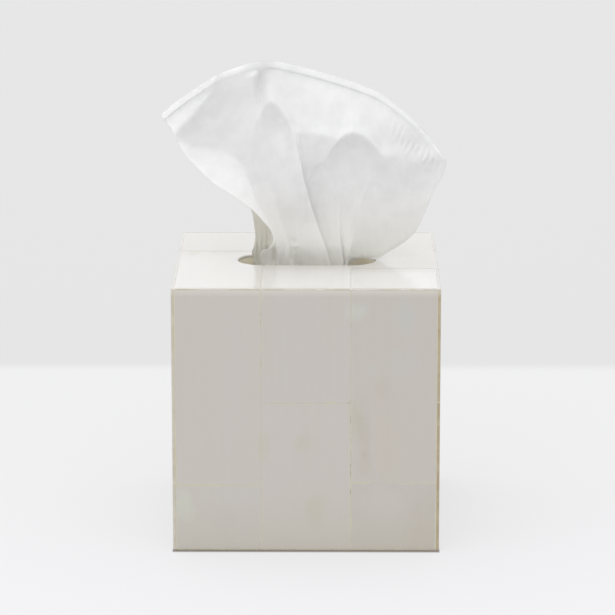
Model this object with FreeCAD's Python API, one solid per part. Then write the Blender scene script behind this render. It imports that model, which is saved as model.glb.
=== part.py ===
# A square tissue box cover, tiled in polished bone, standing over its carton of tissues.
#
# The cover is an open-bottomed box. Five panels of fibreboard are let into each other with
# rabbets, and each face is clad with three columns of thin bone tiles set in a pale resin.
# A rounded slot through the top lets a tissue out of the carton that stands inside.
#
# Frame: +Z up, the front faces -Y, left is -X. The origin is at the middle of the base.
# All sizes are in millimetres.
import FreeCAD
import Part
import math
import os

# --- The cover ---------------------------------------------------------------------------
WIDTH = 133.35  # over the tiles, along X
DEPTH = 133.35  # over the tiles, along Y
HEIGHT = 135.0  # from the surface it stands on to the top face
TILE = 1.5  # thickness of a bone tile
PANEL = 6.0  # thickness of the fibreboard
RABBET = 3.0  # how far one panel is let into the next
FOOT_REVEAL = 0.8  # the fibreboard stands this far below the tiles
EDGE_ROUND = 0.8  # radius of the polished outer edges

# --- The slot in the top -----------------------------------------------------------------
SLOT_LENGTH = 70.0
SLOT_WIDTH = 26.0
LIP_ROUND = 0.9  # radius of the slot's upper edge

# --- The tile layout ---------------------------------------------------------------------
JOINT = 0.5  # width of a resin joint between two tiles
JOINT_RECESS = 0.1  # the resin lies this far below the tiles
FRONT_CROSS = (34.3, 76.9, 35.6)  # height of each column's cross joint, left to right
BACK_CROSS = (78.2, 36.4, 33.1)
LEFT_CROSS = (35.2, 79.5, 34.0)  # front to back
RIGHT_CROSS = (77.4, 35.0, 75.8)
TOP_CROSS = (19.4, 0.0, -20.2)  # from the middle of the top, left to right

# --- The carton and its tissues ----------------------------------------------------------
BOARD = 0.5  # paperboard
BOARD_FOLD = 1.2  # outer radius of a folded corner
CARTON_CLEARANCE = 4.2  # between the carton and the cover, each side
CARTON_HEADROOM = 2.5  # between the carton and the underside of the cover's top
APERTURE_MARGIN = 2.0  # the carton's opening is this much smaller than the slot, all round
TOP_FLAP = 20.0  # the narrow flaps under the carton's top
BASE_FLAP = 36.0  # the narrow flaps on the carton's floor
GLUE_FLAP = 12.0  # the strip inside the corner that closes the sleeve
STACK_CLEARANCE = 2.5  # between the tissues and the carton, each side
STACK_HEADSPACE = 28.0  # empty height above the tissues
STACK_SHOULDER = 34.0  # radius over which the folded pack bends down

# --- The raised tissue -------------------------------------------------------------------
NECK_LEFT_CLEARANCE = 8.5  # from the slot's left end to the gathered tissue
NECK_RIGHT_CLEARANCE = 14.0
NECK_SIDE_CLEARANCE = 5.0  # from the slot's long edges
TISSUE_LIFT = 2.0  # the spread tissue crosses the slot's right end this far above it
TISSUE_REST = 0.4  # its lowest fold rests this far above the top face, beyond the slot
TISSUE_PEAK = 102.0  # height of the tissue's highest fold above the top face
TISSUE_BULGE = 18.0  # half the depth of its folds, at their fullest
TISSUE_CREST = 13.0  # half the depth of its folds at the upper hem

# --- Derived planes ----------------------------------------------------------------------
half_width = WIDTH / 2
half_depth = DEPTH / 2
core_x = half_width - TILE
core_y = half_depth - TILE
core_top = HEIGHT - TILE
bay_x = core_x - PANEL
bay_y = core_y - PANEL
bay_top = core_top - PANEL
carton_x = bay_x - CARTON_CLEARANCE
carton_y = bay_y - CARTON_CLEARANCE
carton_top = bay_top - CARTON_HEADROOM
stack_x = carton_x - BOARD - STACK_CLEARANCE
stack_y = carton_y - BOARD - STACK_CLEARANCE
stack_floor = 3 * BOARD
stack_top = carton_top - STACK_HEADSPACE

X, Y, Z = 0, 1, 2
UP = FreeCAD.Vector(0, 0, 1)


def point(x, y, z):
    return FreeCAD.Vector(x, y, z)


def block(low, high):
    """A box between two opposite corners."""
    return Part.makeBox(*(h - l for l, h in zip(low, high)), point(*low))


def stadium(length, width, bottom, top):
    """A slot shape: two half circles joined by straight sides, lying along X."""
    radius = width / 2
    straight = length / 2 - radius
    outline = Part.Wire(
        [
            Part.LineSegment(point(-straight, -radius, bottom), point(straight, -radius, bottom)).toShape(),
            Part.Arc(
                point(straight, -radius, bottom),
                point(straight + radius, 0, bottom),
                point(straight, radius, bottom),
            ).toShape(),
            Part.LineSegment(point(straight, radius, bottom), point(-straight, radius, bottom)).toShape(),
            Part.Arc(
                point(-straight, radius, bottom),
                point(-straight - radius, 0, bottom),
                point(-straight, -radius, bottom),
            ).toShape(),
        ]
    )
    return Part.Face(outline).extrude(UP * (top - bottom))


def clad_block(inset):
    """The cover's outer form as one block, with its edges rounded and the slot through it.

    The surface lies inset below the finished one, which is how the resin joints are made.
    """
    low = (inset - half_width, inset - half_depth, FOOT_REVEAL)
    high = (half_width - inset, half_depth - inset, HEIGHT - inset)
    form = block(low, high)
    foot = [e for e in form.Edges if e.BoundBox.ZMax < FOOT_REVEAL + 0.01]
    outer = [e for e in form.Edges if not any(e.isSame(f) for f in foot)]
    form = form.makeFillet(EDGE_ROUND, outer)
    form = form.cut(stadium(SLOT_LENGTH + 2 * inset, SLOT_WIDTH + 2 * inset, 0, HEIGHT))
    reach = SLOT_LENGTH / 2 + 2 * inset + 0.1
    lip = [
        e
        for e in form.Edges
        if e.BoundBox.ZMin > high[Z] - 0.01 and max(abs(e.BoundBox.XMin), abs(e.BoundBox.XMax)) < reach
    ]
    return form.makeFillet(LIP_ROUND, lip)


def split(low, high, axis, joints):
    """The boxes left between joints that cross the box low-high at right angles to one axis."""
    starts = [low[axis]] + [j + JOINT / 2 for j in joints]
    ends = [j - JOINT / 2 for j in joints] + [high[axis]]
    pieces = []
    for start, end in zip(starts, ends):
        a, b = list(low), list(high)
        a[axis], b[axis] = start, end
        pieces.append((a, b))
    return pieces


def face_region(face, inset):
    """The slab of cladding on one face. The tiles stop inset short of the neighbouring faces.

    The left and right faces run the full depth and height, so the ends of their tiles show
    as narrow strips at the corners. The front and back lie between them, and the top lies
    between all four.
    """
    x = half_width - TILE - inset
    y = half_depth - TILE - inset
    return {
        "left": ((-half_width, -half_depth, FOOT_REVEAL), (-core_x, half_depth, HEIGHT)),
        "right": ((core_x, -half_depth, FOOT_REVEAL), (half_width, half_depth, HEIGHT)),
        "front": ((-x, -half_depth, FOOT_REVEAL), (x, -core_y, HEIGHT)),
        "back": ((-x, core_y, FOOT_REVEAL), (x, half_depth, HEIGHT)),
        "top": ((-x, -y, core_top), (x, y, HEIGHT)),
    }[face]


def lay_face(face, across, along, column_names, row_names, cross_joints):
    """The tiles and the resin of one face, by node name."""
    finished, resin = clad_block(0), clad_block(JOINT_RECESS)
    full = WIDTH if across == X else DEPTH
    count = len(column_names)
    column_joints = [full * (i / count - 0.5) for i in range(1, count)]
    columns = split(*face_region(face, JOINT), across, column_joints)
    tiles, gaps = {}, []
    for (low, high), column, cross in zip(columns, column_names, cross_joints):
        for (a, b), row in zip(split(low, high, along, [cross]), row_names):
            tiles[f"{face}_tile_{column}_{row}"] = finished.common(block(a, b))
            gaps.append(block(a, b))
    fill = resin.common(block(*face_region(face, 0))).cut(Part.makeCompound(gaps))
    return {**tiles, f"{face}_joint_fill": fill}


def cladding():
    sides = ("left", "middle", "right")
    depths = ("front", "middle", "back")
    heights = ("lower", "upper")
    pieces = {}
    pieces.update(lay_face("front", X, Z, sides, heights, FRONT_CROSS))
    pieces.update(lay_face("back", X, Z, sides, heights, BACK_CROSS))
    pieces.update(lay_face("left", Y, Z, depths, heights, LEFT_CROSS))
    pieces.update(lay_face("right", Y, Z, depths, heights, RIGHT_CROSS))
    pieces.update(lay_face("top", X, Y, sides, ("front", "back"), TOP_CROSS))
    return pieces


def side_panel(side):
    """A left (-1) or right (+1) panel, rabbeted inside along its front, back and top edges."""
    inner, outer = sorted((side * bay_x, side * core_x))
    panel = block((inner, -core_y, 0), (outer, core_y, core_top))
    shallow, deep = sorted((side * bay_x, side * (core_x - RABBET)))
    top_rabbet = block((shallow, -core_y, bay_top), (deep, core_y, core_top))
    front_rabbet = block((shallow, -core_y, 0), (deep, -bay_y, core_top))
    back_rabbet = block((shallow, bay_y, 0), (deep, core_y, core_top))
    return panel.cut(top_rabbet).cut(front_rabbet).cut(back_rabbet)


def end_panel(side):
    """The front (-1) or back (+1) panel, let into both side panels and rabbeted for the top."""
    reach = core_x - RABBET
    inner, outer = sorted((side * bay_y, side * core_y))
    panel = block((-reach, inner, 0), (reach, outer, core_top))
    shallow, deep = sorted((side * bay_y, side * (core_y - RABBET)))
    return panel.cut(block((-reach, shallow, bay_top), (reach, deep, core_top)))


def top_panel():
    """The top panel, dropped into the rabbets of the four walls, with the slot through it."""
    x, y = core_x - RABBET, core_y - RABBET
    return block((-x, -y, bay_top), (x, y, core_top)).cut(
        stadium(SLOT_LENGTH, SLOT_WIDTH, bay_top, core_top)
    )


def sleeve(x, y, corner, bottom, top):
    """A solid upright prism with rounded corners."""
    form = block((-x, -y, bottom), (x, y, top))
    upright = [e for e in form.Edges if e.BoundBox.ZLength > top - bottom - 0.01]
    return form.makeFillet(corner, upright)


def carton():
    """The paperboard carton, folded from one sheet: sleeve, glue strip, flaps, open aperture."""
    inner_x, inner_y = carton_x - BOARD, carton_y - BOARD
    walls = sleeve(carton_x, carton_y, BOARD_FOLD, 0, carton_top).cut(
        sleeve(inner_x, inner_y, BOARD_FOLD - BOARD, 0, carton_top)
    )
    base_outer = sleeve(inner_x, inner_y, BOARD_FOLD - BOARD, 0, BOARD)
    base_inner = block((-inner_x, -inner_y, BOARD), (inner_x, inner_y, 2 * BOARD))
    lid = sleeve(inner_x, inner_y, BOARD_FOLD - BOARD, carton_top - BOARD, carton_top)
    flap_y = inner_y - BOARD_FOLD
    pieces = [base_outer, base_inner, lid]
    for side in (-1, 1):
        for reach, bottom in ((BASE_FLAP, 2 * BOARD), (TOP_FLAP, carton_top - 2 * BOARD)):
            near, far = sorted((side * inner_x, side * (inner_x - reach)))
            pieces.append(block((near, -flap_y, bottom), (far, flap_y, bottom + BOARD)))
    glue_top = carton_top - 2 * BOARD
    pieces.append(
        block(
            (-inner_x, inner_y - GLUE_FLAP, 2 * BOARD),
            (-inner_x + BOARD, inner_y - BOARD_FOLD, glue_top),
        )
    )
    folded = walls.multiFuse(pieces)
    aperture = stadium(
        SLOT_LENGTH - 2 * APERTURE_MARGIN,
        SLOT_WIDTH - 2 * APERTURE_MARGIN,
        carton_top - 3 * BOARD,
        carton_top + BOARD,
    )
    return folded.cut(aperture).removeSplitter()


def tissue_stack():
    """The pack: a pile of tissues bent over into an upturned U, its two legs pressed shut."""
    x, bottom, top = stack_x, stack_floor, stack_top
    bend = STACK_SHOULDER
    corner = bend * (1 - math.cos(math.pi / 4))

    def at(px, pz):
        return point(px, -stack_y, pz)

    edges = [
        Part.LineSegment(at(-x, bottom), at(-x, top - bend)).toShape(),
        Part.Arc(at(-x, top - bend), at(corner - x, top - corner), at(bend - x, top)).toShape(),
        Part.LineSegment(at(bend - x, top), at(x - bend, top)).toShape(),
        Part.Arc(at(x - bend, top), at(x - corner, top - corner), at(x, top - bend)).toShape(),
        Part.LineSegment(at(x, top - bend), at(x, bottom)).toShape(),
        Part.LineSegment(at(x, bottom), at(-x, bottom)).toShape(),
    ]
    return Part.Face(Part.Wire(edges)).extrude(point(0, 2 * stack_y, 0))


def tissue():
    """The raised tissue: its spread outline seen from the front, cut to its depth from the side."""
    left = NECK_LEFT_CLEARANCE - SLOT_LENGTH / 2
    right = SLOT_LENGTH / 2 - NECK_RIGHT_CLEARANCE
    front = -TISSUE_BULGE - 1

    def at(x, rise):
        return point(x, front, HEIGHT + rise)

    neck = stack_top - HEIGHT
    lift, rest, peak = TISSUE_LIFT, TISSUE_REST, TISSUE_PEAK
    rest_start = SLOT_LENGTH / 2 + LIP_ROUND + 0.6
    rest_end = rest_start + 4.0
    left_tip, right_tip = at(-73.5, 0.73 * peak), at(72.0, 0.51 * peak)
    crest = at(-18.5, peak)
    edges = [
        Part.LineSegment(at(right, neck), at(left, neck)).toShape(),
        Part.LineSegment(at(left, neck), at(left, 8.0)).toShape(),
        Part.LineSegment(at(left, 8.0), at(-32.0, 27.0)).toShape(),
        Part.Arc(at(-32.0, 27.0), at(-56.0, 46.0), left_tip).toShape(),
        Part.Arc(left_tip, at(-48.0, 0.93 * peak), crest).toShape(),
        Part.Arc(crest, at(34.0, 0.85 * peak), right_tip).toShape(),
        Part.Arc(right_tip, at(60.0, 22.0), at(rest_end, rest)).toShape(),
        Part.LineSegment(at(rest_end, rest), at(rest_start, rest)).toShape(),
        Part.LineSegment(at(rest_start, rest), at(right, lift)).toShape(),
        Part.LineSegment(at(right, lift), at(right, neck)).toShape(),
    ]
    spread = Part.Face(Part.Wire(edges)).extrude(point(0, -2 * front, 0))

    half_neck = SLOT_WIDTH / 2 - NECK_SIDE_CLEARANCE
    away = left_tip.x - 1

    def edge_on(y, rise):
        return point(away, y, HEIGHT + rise)

    flanks = [
        Part.LineSegment(edge_on(half_neck, neck), edge_on(-half_neck, neck)).toShape(),
        Part.LineSegment(edge_on(-half_neck, neck), edge_on(-half_neck, lift)).toShape(),
        Part.Arc(
            edge_on(-half_neck, lift), edge_on(-TISSUE_BULGE, 0.6 * peak), edge_on(-TISSUE_CREST, peak + 1)
        ).toShape(),
        Part.LineSegment(edge_on(-TISSUE_CREST, peak + 1), edge_on(TISSUE_CREST, peak + 1)).toShape(),
        Part.Arc(
            edge_on(TISSUE_CREST, peak + 1), edge_on(TISSUE_BULGE, 0.6 * peak), edge_on(half_neck, lift)
        ).toShape(),
        Part.LineSegment(edge_on(half_neck, lift), edge_on(half_neck, neck)).toShape(),
    ]
    depth = Part.Face(Part.Wire(flanks)).extrude(point(right_tip.x - left_tip.x + 2, 0, 0))
    return spread.common(depth)


def main():
    os.makedirs("parts", exist_ok=True)
    nodes = {
        "core_left_panel": side_panel(-1),
        "core_right_panel": side_panel(1),
        "core_front_panel": end_panel(-1),
        "core_back_panel": end_panel(1),
        "core_top_panel": top_panel(),
        **cladding(),
        "carton": carton(),
        "tissue_stack": tissue_stack(),
        "tissue": tissue(),
    }
    for name, shape in nodes.items():
        count = len(shape.Solids)
        if count != 1 or not shape.isValid():
            raise RuntimeError(f"{name}: {count} solids, valid {shape.isValid()}")
        solid = shape.Solids[0]
        solid.exportStep(f"parts/{name}.step")
        size = solid.BoundBox
        print(f"{name:28} {size.XLength:7.2f} {size.YLength:7.2f} {size.ZLength:7.2f} mm {solid.Volume:10.0f} mm3")
    print(len(nodes), "nodes")


main()
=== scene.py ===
# %% [markdown]
# # A bone-tiled tissue box cover
# The real object is a square, open-bottomed box of fibreboard, clad in thin tiles of polished bone and
# dropped over a carton of tissues. One tissue stands up through a rounded slot in its top.
# The hard pieces arrive as a fixed frame and keep their shape: only their finish is made here.
# The raised tissue arrives as a plain solid, so it is the one piece that is modelled here, as two thin
# plies with all their folds.

import math

import bpy
import numpy as np
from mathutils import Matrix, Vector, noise


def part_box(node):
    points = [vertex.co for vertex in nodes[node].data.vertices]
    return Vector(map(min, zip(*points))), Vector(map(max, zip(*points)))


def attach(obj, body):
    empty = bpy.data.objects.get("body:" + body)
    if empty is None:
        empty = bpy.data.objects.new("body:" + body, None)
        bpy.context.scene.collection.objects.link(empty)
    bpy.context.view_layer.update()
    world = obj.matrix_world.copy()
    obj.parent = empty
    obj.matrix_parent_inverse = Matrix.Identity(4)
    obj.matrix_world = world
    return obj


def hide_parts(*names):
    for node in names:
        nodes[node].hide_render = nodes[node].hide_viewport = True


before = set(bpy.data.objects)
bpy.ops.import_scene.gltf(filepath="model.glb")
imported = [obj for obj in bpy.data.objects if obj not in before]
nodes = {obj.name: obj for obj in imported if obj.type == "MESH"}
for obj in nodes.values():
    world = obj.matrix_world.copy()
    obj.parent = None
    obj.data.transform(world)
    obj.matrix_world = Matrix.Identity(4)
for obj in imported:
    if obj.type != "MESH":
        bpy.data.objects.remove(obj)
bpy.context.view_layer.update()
MM = 0.001

# %% [markdown]
# ## The camera
# A small thing looks its true shape through a long lens from well back, where its upright edges stay
# nearly parallel. The camera stands 1.66 m in front and looks down at 13.5 degrees, which shows the front
# square on and the top as a narrow band with the slot in it.

# %% Place the camera
CAMERA_AT = (0.0139, -1.6645, 0.5084)
CAMERA_TURN = (76.53, 0.031, 0.462)  # degrees about X, Y and Z

camera = bpy.data.objects.new("camera", bpy.data.cameras.new("camera"))
bpy.context.scene.collection.objects.link(camera)
bpy.context.scene.camera = camera
camera.location = CAMERA_AT
camera.rotation_euler = [math.radians(a) for a in CAMERA_TURN]
camera.data.lens = 195.2
camera.data.sensor_width = 36.0
print("camera", [round(v, 3) for v in camera.location], "lens", camera.data.lens)

# %% [markdown]
# ## Helpers for finishes
# A finish is a small graph of nodes. `Finish` adds nodes and joins them, so that each material below
# reads as a short recipe: where am I on the piece, which patterns cross that place, and what colour,
# gloss and relief they give.

# %% Colours
def srgb(red, green, blue):
    """A colour as it is mixed on a screen, from 0 to 255, in the linear values that a shader wants."""
    levels = (red / 255, green / 255, blue / 255)
    return tuple(v / 12.92 if v <= 0.04045 else ((v + 0.055) / 1.055) ** 2.4 for v in levels) + (1.0,)


# %% Node helpers
class Finish:
    """A new material with one Principled shader, and short ways to add and join nodes."""

    def __init__(self, name, roughness=0.5, **values):
        self.material = bpy.data.materials.new(name)
        self.material.use_nodes = True
        self.tree = self.material.node_tree
        self.shader = self.tree.nodes["Principled BSDF"]
        self.shader.inputs["Roughness"].default_value = roughness
        for socket, value in values.items():
            self.shader.inputs[socket.replace("_", " ")].default_value = value
        self.place = self.add("TexCoord").outputs["Object"]
        self.normal = self.place.node.outputs["Normal"]

    def add(self, kind, inputs=None, **settings):
        node = self.tree.nodes.new("ShaderNode" + kind)
        for key, value in settings.items():
            setattr(node, key, value)
        for key, value in (inputs or {}).items():
            self.set(node.inputs[key], value)
        return node

    def set(self, socket, value):
        if isinstance(value, bpy.types.NodeSocket):
            self.tree.links.new(value, socket)
        else:
            socket.default_value = value

    def math(self, operation, *values):
        node = self.add("Math", operation=operation)
        for socket, value in zip(node.inputs, values):
            self.set(socket, value)
        return node.outputs[0]

    def stretch(self, scale, offset=(0, 0, 0)):
        """The place on the piece, stretched so that a pattern runs along one axis."""
        moved = self.add("Mapping", {"Vector": self.place, "Location": offset, "Scale": scale})
        return moved.outputs[0]

    def noise(self, place, scale, detail=3.0, roughness=0.55, distortion=0.0):
        inputs = {"Vector": place, "Scale": scale, "Detail": detail}
        inputs.update({"Roughness": roughness, "Distortion": distortion})
        return self.add("TexNoise", inputs).outputs[0]

    def range(self, value, low, high, to_low=0.0, to_high=1.0):
        inputs = {"Value": value, "From Min": low, "From Max": high, "To Min": to_low, "To Max": to_high}
        return self.add("MapRange", inputs, interpolation_type="SMOOTHSTEP").outputs[0]

    def mix(self, share, first, second, blend="MIX"):
        node = self.add("Mix", data_type="RGBA", blend_type=blend)
        for socket, value in zip((node.inputs[0], node.inputs[6], node.inputs[7]), (share, first, second)):
            self.set(socket, value)
        return node.outputs[2]

    def axes(self, vector):
        return self.add("SeparateXYZ", {"Vector": vector}).outputs

    def oval(self, x, up, at_x, at_up, half_x, half_up):
        """0 at the middle of an oval patch, 1 at its rim and more beyond. The four sizes are in mm."""
        from_x = self.math("DIVIDE", self.math("SUBTRACT", x, at_x * MM), half_x * MM)
        from_up = self.math("DIVIDE", self.math("SUBTRACT", up, at_up * MM), half_up * MM)
        squares = (self.math("MULTIPLY", from_x, from_x), self.math("MULTIPLY", from_up, from_up))
        return self.math("ADD", *squares)

    def relief(self, height, distance, strength=1.0):
        """Bump the surface by height times distance, which is in metres."""
        before = self.shader.inputs["Normal"]
        bump = self.add("Bump", {"Height": height, "Distance": distance, "Strength": strength})
        if before.is_linked:
            self.tree.links.new(before.links[0].from_socket, bump.inputs["Normal"])
        self.tree.links.new(bump.outputs[0], before)

    def colour(self, socket):
        self.tree.links.new(socket, self.shader.inputs["Base Color"])

    def gloss(self, socket):
        self.tree.links.new(socket, self.shader.inputs["Roughness"])


# %% Give a node its finish
def cover(name, material):
    """Give a CAD node its finish. Its mesh is left as it is."""
    for slot in nodes[name].material_slots:
        slot.material = material


def wear(names, material):
    for name in names:
        cover(name, material)
    print(f"{material.name:18} on {len(names)} nodes")


# %% [markdown]
# ## Polished bone
# Each tile is sawn from a long bone, so its grain runs along the column. Under the polish the eye sees
# four things: broad clouds, a little warmer or cooler than the rest; fine streaks along the grain; short
# dark pores; and now and then a brownish stain where the marrow lay. The resin also soaks a little way
# in, which leaves a yellower rim round each tile. The sawn end of a tile is darker than its face, and
# shows as a tan strip at the upright corners; the right wall's ends are painted darker still, as painted
# shade. Whatever faces up is painted paler, as painted light from above, and the foot of each wall is
# painted darker, as painted shade.
#
# Each of these is a mask: a number from 0 to 1 at every place on the tile, which mixes one more tone over
# the tones before it. A mask can come from a noise, from the place on the tile, or from which way it
# faces. Every tile gets a material of its own from one recipe, because no two tiles of bone are alike.

# %% The tiles and their places
BONE = srgb(192, 187, 181)
BONE_WARM = srgb(192, 186, 173)
BONE_COOL = srgb(187, 188, 184)
BONE_DEEP = srgb(180, 172, 156)
STAIN = srgb(182, 177, 148)

top_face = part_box("top_tile_left_front")[1].z
side_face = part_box("right_tile_front_lower")[1].x
tiles = sorted(n for n in nodes if "_tile_" in n)
print(len(tiles), "tiles; the cover's top is at", round(top_face / MM, 2), "mm")

# %% [markdown]
# First comes the bone itself. Noise that is squeezed along the grain makes clouds and streaks that run
# with it. Each tile draws its own offsets, so that no pattern runs on from one tile to the next.

# %% Grain
def grown(f, grain, rng):
    """The tones of the bone itself. Also returns the place that they follow, and the pores."""
    offset = tuple(rng.uniform(-1, 1, 3))
    lengthwise = [1.0, 1.0, 1.0]
    lengthwise[grain] = 0.16
    place = f.stretch(lengthwise, offset)
    clouds = f.noise(place, 42, detail=2.5, distortion=0.6)
    colour = f.mix(f.range(clouds, 0.50, 0.80, 0, 0.4), BONE, BONE_WARM)
    cool = f.noise(f.stretch(lengthwise, tuple(rng.uniform(-1, 1, 3))), 60, detail=2)
    colour = f.mix(f.range(cool, 0.56, 0.82, 0, 0.35), colour, BONE_COOL)

    fibre = [1.0, 1.0, 1.0]
    fibre[grain] = 0.045
    streaks = f.noise(f.stretch(fibre, offset), 420, detail=4, roughness=0.6)
    colour = f.mix(f.range(streaks, 0.42, 0.72, 0, 0.07), colour, BONE_DEEP)
    pores = f.noise(f.stretch(fibre, offset), 2100, detail=2)
    colour = f.mix(f.range(pores, 0.68, 0.80, 0, 0.10), colour, STAIN)
    return colour, place, pores


# %% [markdown]
# Some stains and clouds are large enough to be told apart. They are given one by one, as ovals whose
# rims a noise makes ragged. One oval on the top is a painted shadow of the tissue, not a stain.

# %% Stains and a painted shadow
# (x, how far up the grain, half width, half height) in mm, how strong, and the colour. On the front the
# grain runs up Z, and on the top along Y.
STAINS_AND_SHADOW = {
    "front": [
        ((-1, 56, 4.5, 5), 0.24, STAIN),
        ((5, 23, 6, 9), 0.27, STAIN),
        ((-21, 55, 3, 8), 0.20, STAIN),
        ((28.5, 63, 3.4, 15), 0.26, srgb(172, 165, 146)),
        ((24.5, 67, 4.0, 13), 0.28, srgb(181, 175, 148)),
        ((29, 46, 4, 6), 0.22, srgb(176, 168, 148)),
        ((25, 124, 5, 5), 0.50, srgb(196, 202, 194)),
        ((50, 121, 6, 9), 0.36, srgb(186, 192, 190)),
        ((47, 96, 9, 9), 0.26, srgb(186, 191, 190)),
        ((33, 94, 5, 4), 0.22, srgb(186, 191, 190)),
        ((-61, 22, 5, 8), 0.36, srgb(200, 208, 190)),
        ((38, 24, 12, 10), 0.20, srgb(207, 203, 194)),
        ((60, 12, 9, 18), 0.26, BONE_DEEP),
        ((-40, 14, 6, 10), 0.12, BONE_DEEP),
        ((38, 84, 4, 7), 0.16, BONE_DEEP),
    ],
    "top": [
        ((-58, 15, 3.5, 5), 0.40, srgb(176, 164, 142)),
        ((-42, 18, 11, 8), 0.34, srgb(178, 168, 150)),
        ((68, -46, 11, 26), 0.60, srgb(182, 178, 173)),
        # painted shadow: the tissue's shadow on the top, right of the slot
        ((56, 0, 12, 14), 0.40, srgb(182, 177, 169)),
    ],
}
NEAR_X, NEAR_UP = 8 * MM, 16 * MM  # a stain with its middle further off than this isn't on the tile


def stained_and_shaded(f, colour, side, grain, low, high):
    """Lay the stains of one face over a tile, with the painted shadow of the tissue on the top."""
    if side not in STAINS_AND_SHADOW:
        return colour
    spots = f.axes(f.place)
    blotchy = f.range(f.noise(f.place, 110, detail=4), 0.3, 0.7, -0.5, 0.5)
    for oval, strength, tint in STAINS_AND_SHADOW[side]:
        at_x, at_up = oval[0] * MM, oval[1] * MM
        near = low.x - NEAR_X < at_x < high.x + NEAR_X
        if near and low[grain] - NEAR_UP < at_up < high[grain] + NEAR_UP:
            ragged = f.math("ADD", f.oval(spots[0], spots[grain], *oval), blotchy)
            colour = f.mix(f.range(ragged, -0.2, 1.7, strength, 0.0), colour, tint)
    return colour


# %% [markdown]
# The next masks depend on the place. Every tile has its own tone, the front's right column is painted
# duller as painted shade, the foot of each wall is painted darker as painted shade, and the resin has
# soaked into a rim that is measured in from the tile's own edges.

# %% Tone, foot and rim
OWN_TONE, OWN_WARMTH = 0.014, 0.008  # a part in a hundred or so lighter or darker, warmer or cooler
RIGHT_COLUMN_SHADE = (0.96, 0.955, 0.95)  # painted shade: the front's right column is painted duller, as it lies more in shade
# painted shade: how high the darker foot of each wall reaches
PAINTED_SHADE_HEIGHT = 36 * MM
RIM = 1.1 * MM  # how far the resin soaks in
SOAKED, SOAKED_TOP = srgb(199, 194, 174), srgb(203, 200, 192)


def toned(f, colour, tile, rng):
    tone = rng.uniform(-1, 1, 2)
    # painted shade on the front's right column
    base = RIGHT_COLUMN_SHADE if tile.startswith("front_tile_right") else (1, 1, 1)
    shade = [b * (1 + OWN_TONE * tone[0] + OWN_WARMTH * tone[1] * k) for b, k in zip(base, (1, 0, -1))]
    return f.mix(1.0, colour, tuple(shade) + (1.0,), blend="MULTIPLY")


def soaked(f, colour, axes, low, high, tint):
    """The rim that resin soaked into, along the two axes in which the tile is broad."""
    spots = f.axes(f.place)
    inward = []
    for axis in axes:
        middle, half = (low[axis] + high[axis]) / 2, (high - low)[axis] / 2
        off = f.math("ABSOLUTE", f.math("SUBTRACT", spots[axis], middle))
        inward.append(f.math("SUBTRACT", half, off))
    edge = f.math("MINIMUM", *inward)
    ragged = f.range(f.noise(f.place, 260, detail=3), 0.35, 0.65, 0.0, 0.6)
    return f.mix(f.math("MULTIPLY", f.range(edge, 0.0, RIM, 1, 0), ragged), colour, tint)


# %% [markdown]
# The last masks depend on which way the surface faces. A rounded edge turns through all directions, so
# a mask on the normal changes tone right along the arris, with no need to find the arris by its place.

# %% Painted light on what faces up, sawn ends and painted shade under the arris
# painted light: the tone of a wall's faces where they turn up at the arris, as lit from above
UPTURNED_PAINTED_LIGHT = srgb(203, 202, 199)
REAR_TIMES = (1.20, 1.225, 1.26, 1.0)  # painted light: how many times paler the top's tiles are painted than the walls', as lit from above
# painted light: the front row of the top is painted paler still
FRONT_TIMES = {"left": (1.30, 1.34, 1.40, 1.0), "middle": (1.40, 1.455, 1.54, 1.0)}
FRONT_TIMES["right"] = FRONT_TIMES["middle"]
# The tan of each wall's sawn ends; the right wall's are painted darker than the left's, as painted shade.
SAWN_ENDS = {
    "left": (srgb(196, 190, 174), srgb(186, 179, 160)),
    "right": (srgb(176, 162, 128), srgb(160, 142, 106)),
}
ARRIS_SHADE = srgb(150, 142, 112)
ARRIS_SHADE_DROP = 0.4 * MM  # how far below the top face the painted shade under the arris lies


def painted_top_light(f, colour, tile, low, high):
    """Painted light: the top's tiles are painted the palest, as lit from above, most of all towards the
    front.
    """
    pale = f.mix(1.0, colour, REAR_TIMES, blend="MULTIPLY")
    _, _, column, row = tile.split("_")
    if row == "front":
        forward = f.range(f.axes(f.place)[1], high.y - (high - low).y / 3, high.y, 1, 0)
        pale = f.mix(forward, pale, f.mix(1.0, colour, FRONT_TIMES[column], blend="MULTIPLY"))
    return pale


def sawn(f, colour, side):
    """Where a side wall's tile ends towards the front or the back, its sawn end shows."""
    end = f.range(f.math("ABSOLUTE", f.axes(f.normal)[1]), 0.45, 0.85)
    end_tone = f.mix(f.range(f.noise(f.place, 160), 0.35, 0.65), *SAWN_ENDS[side])
    return f.mix(f.math("MULTIPLY", end, 0.92), colour, end_tone)


def shaded_under_arris(f, colour, faces_up):
    """A thin olive line of painted shade just under the arris, and a paler band of bone below it."""
    height = f.axes(f.place)[2]
    upright = f.math("SUBTRACT", 1.0, faces_up)
    # a paler band of bone in the last few mm below the arris
    paler_band = f.range(height, top_face - 4.5 * MM, top_face - 0.9 * MM, 0, 0.6)
    colour = f.mix(f.math("MULTIPLY", paler_band, upright), colour, srgb(212, 208, 198))
    # painted shade: a thin line just under the arris, where the rounded edge turns down
    off = f.math("ABSOLUTE", f.math("SUBTRACT", height, top_face - ARRIS_SHADE_DROP))
    line = f.range(off, 0.1 * MM, 0.4 * MM, 1, 0)
    patchy = f.range(f.noise(f.place, 90), 0.35, 0.6, 0.2, 0.75)
    return f.mix(f.math("MULTIPLY", f.math("MULTIPLY", line, patchy), upright), colour, ARRIS_SHADE)


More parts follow.
